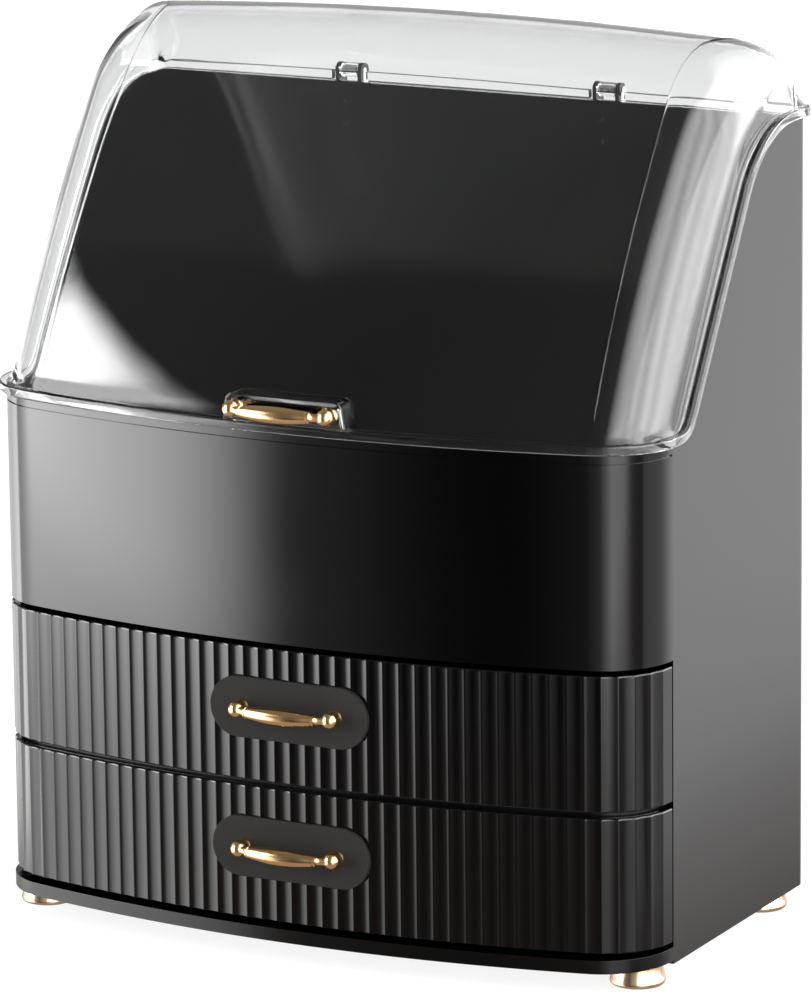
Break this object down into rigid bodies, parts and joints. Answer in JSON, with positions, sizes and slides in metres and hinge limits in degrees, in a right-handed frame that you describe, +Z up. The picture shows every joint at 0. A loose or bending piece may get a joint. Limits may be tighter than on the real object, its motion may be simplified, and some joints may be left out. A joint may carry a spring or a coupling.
{
  "type": "makeup organizer",
  "caption": "Counter-top makeup organizer: glossy body with a bowed front, clear hinged dustproof lid over a display bay, fluted drawers below, small metal handles and feet.",
  "frame": {"origin": "on the floor plane under the middle of the part's bounding box", "axes": "+Z up, the drawers and handles face -Y, +X to the right of someone who faces the drawers"},
  "size_m": [0.306, 0.1934, 0.3721],
  "materials": {
    "shell_black": "gloss",
    "inner_black": "gloss",
    "flute_black": "gloss",
    "plate_grey": "satin",
    "clear_lid": "clear",
    "warm_gold": "satin",
    "foot_gold": "satin",
    "steel": "brushed",
    "rubber": "matt"
  },
  "bodies": {
    "housing": {"body_shell": "shell_black", "display_floor": "inner_black", "drawer_shelf": "inner_black", "base_plate": "shell_black", "base_screws": "steel", "shelf_screws": "steel", "floor_screws": "steel", "front_left_foot": "foot_gold", "front_right_foot": "foot_gold", "rear_left_foot": "foot_gold", "rear_right_foot": "foot_gold", "foot_pads": "rubber", "foot_screws": "steel", "left_hinge_bracket": "shell_black", "right_hinge_bracket": "shell_black", "hinge_pins": "steel", "hinge_screws": "steel"},
    "lid": {"lid_cover": "clear_lid", "lid_handle": "warm_gold", "lid_handle_screws": "steel"},
    "upper_drawer": {"upper_tray": "inner_black", "upper_front": "flute_black", "upper_handle_plate": "plate_grey", "upper_handle": "warm_gold", "upper_handle_screws": "steel"},
    "lower_drawer": {"lower_tray": "inner_black", "lower_front": "flute_black", "lower_handle_plate": "plate_grey", "lower_handle": "warm_gold", "lower_handle_screws": "steel"}
  },
  "joints": [
    {"name": "lid_hinge", "type": "hinge", "parent": "housing", "child": "lid", "pos_m": [0, 0.09218, 0.3375], "axis": [-1, 0, 0], "range_deg": [0, 115]},
    {"name": "upper_drawer_slide", "type": "slide", "parent": "housing", "child": "upper_drawer", "axis": [0, -1, 0], "range_m": [0, 0.1]},
    {"name": "lower_drawer_slide", "type": "slide", "parent": "housing", "child": "lower_drawer", "axis": [0, -1, 0], "range_m": [0, 0.1]}
  ]
}
